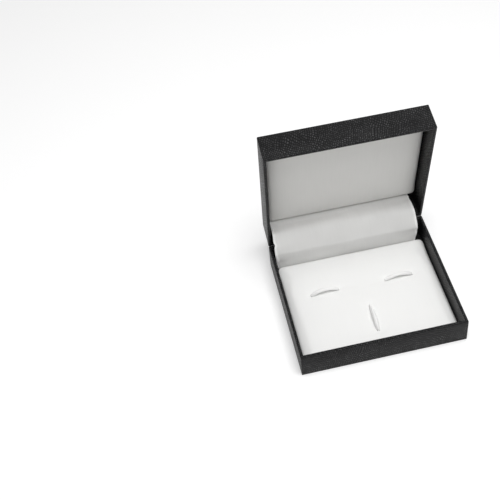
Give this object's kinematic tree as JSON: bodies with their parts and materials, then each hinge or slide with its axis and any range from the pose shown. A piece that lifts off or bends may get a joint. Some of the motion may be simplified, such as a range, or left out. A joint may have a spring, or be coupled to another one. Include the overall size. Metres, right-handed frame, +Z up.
{
  "type": "cufflink display box",
  "caption": "Flat hinged display box in black grained covering, with crowned white pads, strap loops for cufflinks and a tie clip, and a curved flap over the spring hinges.",
  "frame": {"origin": "middle of the underside of the base half, on the surface that the box stands on", "axes": "+Z up, +X to the right as seen from the front, -Y towards the front; the lid hinges along X at the rear and stands open at rest"},
  "size_m": [0.09, 0.0952, 0.0966],
  "materials": {
    "shell": "moulded, hidden under the covering",
    "covering": "black grained leatherette, satin",
    "sheet": "black, matt",
    "card": "raw board, hidden",
    "foam": "soft foam, hidden",
    "pad_cover": "white smooth leatherette, soft satin",
    "flap_cover": "white smooth leatherette, soft satin",
    "strap": "white, soft",
    "hinge_steel": "plated",
    "spring_steel": "blued"
  },
  "bodies": {
    "base": {"base_shell": "shell", "base_wrap": "covering", "bottom_sheet": "sheet", "base_pad_card": "card", "base_pad_foam": "foam", "base_pad_cover": "pad_cover", "cufflink_loop_left": "strap", "cufflink_loop_right": "strap", "tie_clip_loop": "strap", "flap_card": "card", "flap_cover": "flap_cover", "hinge_base_leaf_left": "hinge_steel", "hinge_base_leaf_right": "hinge_steel", "hinge_pin_left": "hinge_steel", "hinge_pin_right": "hinge_steel", "hinge_spring_left": "spring_steel", "hinge_spring_right": "spring_steel", "hinge_base_rivets": "hinge_steel"},
    "lid": {"lid_shell": "shell", "lid_wrap": "covering", "lid_pad_card": "card", "lid_pad_foam": "foam", "lid_pad_cover": "pad_cover", "hinge_lid_leaf_left": "hinge_steel", "hinge_lid_leaf_right": "hinge_steel", "hinge_lid_rivets": "hinge_steel"}
  },
  "joints": [
    {"name": "lid_hinge", "type": "hinge", "parent": "base", "child": "lid", "pos_m": [0, 0.04, 0.0151], "axis": [1, 0, 0], "range_deg": [0, 79], "deforming": ["flap_card", "flap_cover", "hinge_spring_left", "hinge_spring_right"]}
  ]
}
